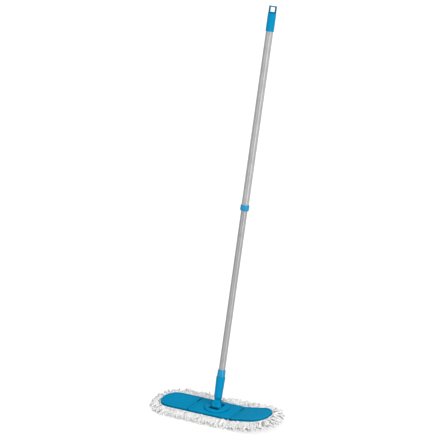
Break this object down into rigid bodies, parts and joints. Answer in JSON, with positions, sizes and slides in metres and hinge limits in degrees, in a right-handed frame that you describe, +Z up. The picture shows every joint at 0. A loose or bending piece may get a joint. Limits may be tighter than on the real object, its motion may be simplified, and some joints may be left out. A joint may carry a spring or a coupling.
{
  "type": "flat mop",
  "caption": "Flat dust mop: telescopic steel handle, two-axis joint, hinged three-piece plastic plate and a looped cotton pad.",
  "frame": {"origin": "on the floor, under the middle of the plate", "axes": "+X along the plate, to the right seen from the front; +Y to the back, the way the handle leans; +Z up"},
  "size_m": [0.472, 0.4721, 1.2836],
  "materials": {
    "blue_plastic": "moulded, satin",
    "coated_tube": "grey powder coat on thin steel tube",
    "nylon": "natural nylon",
    "steel": "plated",
    "hook_strip": "hook strip",
    "pad_backing": "woven backing",
    "cotton_yarn": "looped cotton yarn"
  },
  "bodies": {
    "upper_handle": {"hang_cap": "blue_plastic", "upper_tube": "coated_tube", "lock_collar": "blue_plastic"},
    "twist_lock": {"lock_sleeve": "nylon"},
    "lower_handle": {"lock_core": "nylon", "lock_screw": "steel", "lower_tube": "coated_tube", "thread_ferrule": "blue_plastic", "handle_socket": "blue_plastic"},
    "cross_joint": {"joint_block": "blue_plastic", "tilt_pin": "steel", "swivel_pin": "blue_plastic"},
    "head": {"center_plate": "blue_plastic", "flap_hinge_pins": "steel", "hook_strip_mid": "hook_strip", "pad_backing_mid": "pad_backing", "pad_yarn_mid": "cotton_yarn"},
    "left_wing": {"left_flap": "blue_plastic", "hook_strip_left": "hook_strip", "pad_backing_left": "pad_backing", "pad_yarn_left": "cotton_yarn"},
    "right_wing": {"right_flap": "blue_plastic", "hook_strip_right": "hook_strip", "pad_backing_right": "pad_backing", "pad_yarn_right": "cotton_yarn"}
  },
  "joints": [
    {"name": "telescope", "type": "slide", "parent": "upper_handle", "child": "twist_lock", "axis": [0, 0.284, 0.9588], "range_m": [0, 0.5]},
    {"name": "lock_twist", "type": "hinge", "parent": "twist_lock", "child": "lower_handle", "pos_m": [0, 0, 0.028], "axis": [0, 0.284, 0.9588], "range_deg": [0, 150]},
    {"name": "swivel", "type": "hinge", "parent": "lower_handle", "child": "cross_joint", "pos_m": [0, 0.00383, 0.04094], "axis": [0, 0.9588, -0.284], "range_deg": [-45, 45]},
    {"name": "tilt", "type": "hinge", "parent": "cross_joint", "child": "head", "pos_m": [0, 0, 0.028], "axis": [1, 0, 0], "range_deg": [-66.5, 33.5]},
    {"name": "left_flap_hinge", "type": "hinge", "parent": "head", "child": "left_wing", "pos_m": [-0.078, 0, 0.0255], "axis": [0, 1, 0], "range_deg": [0, 50]},
    {"name": "right_flap_hinge", "type": "hinge", "parent": "head", "child": "right_wing", "pos_m": [0.078, 0, 0.0255], "axis": [0, -1, 0], "range_deg": [-10, 40]}
  ]
}
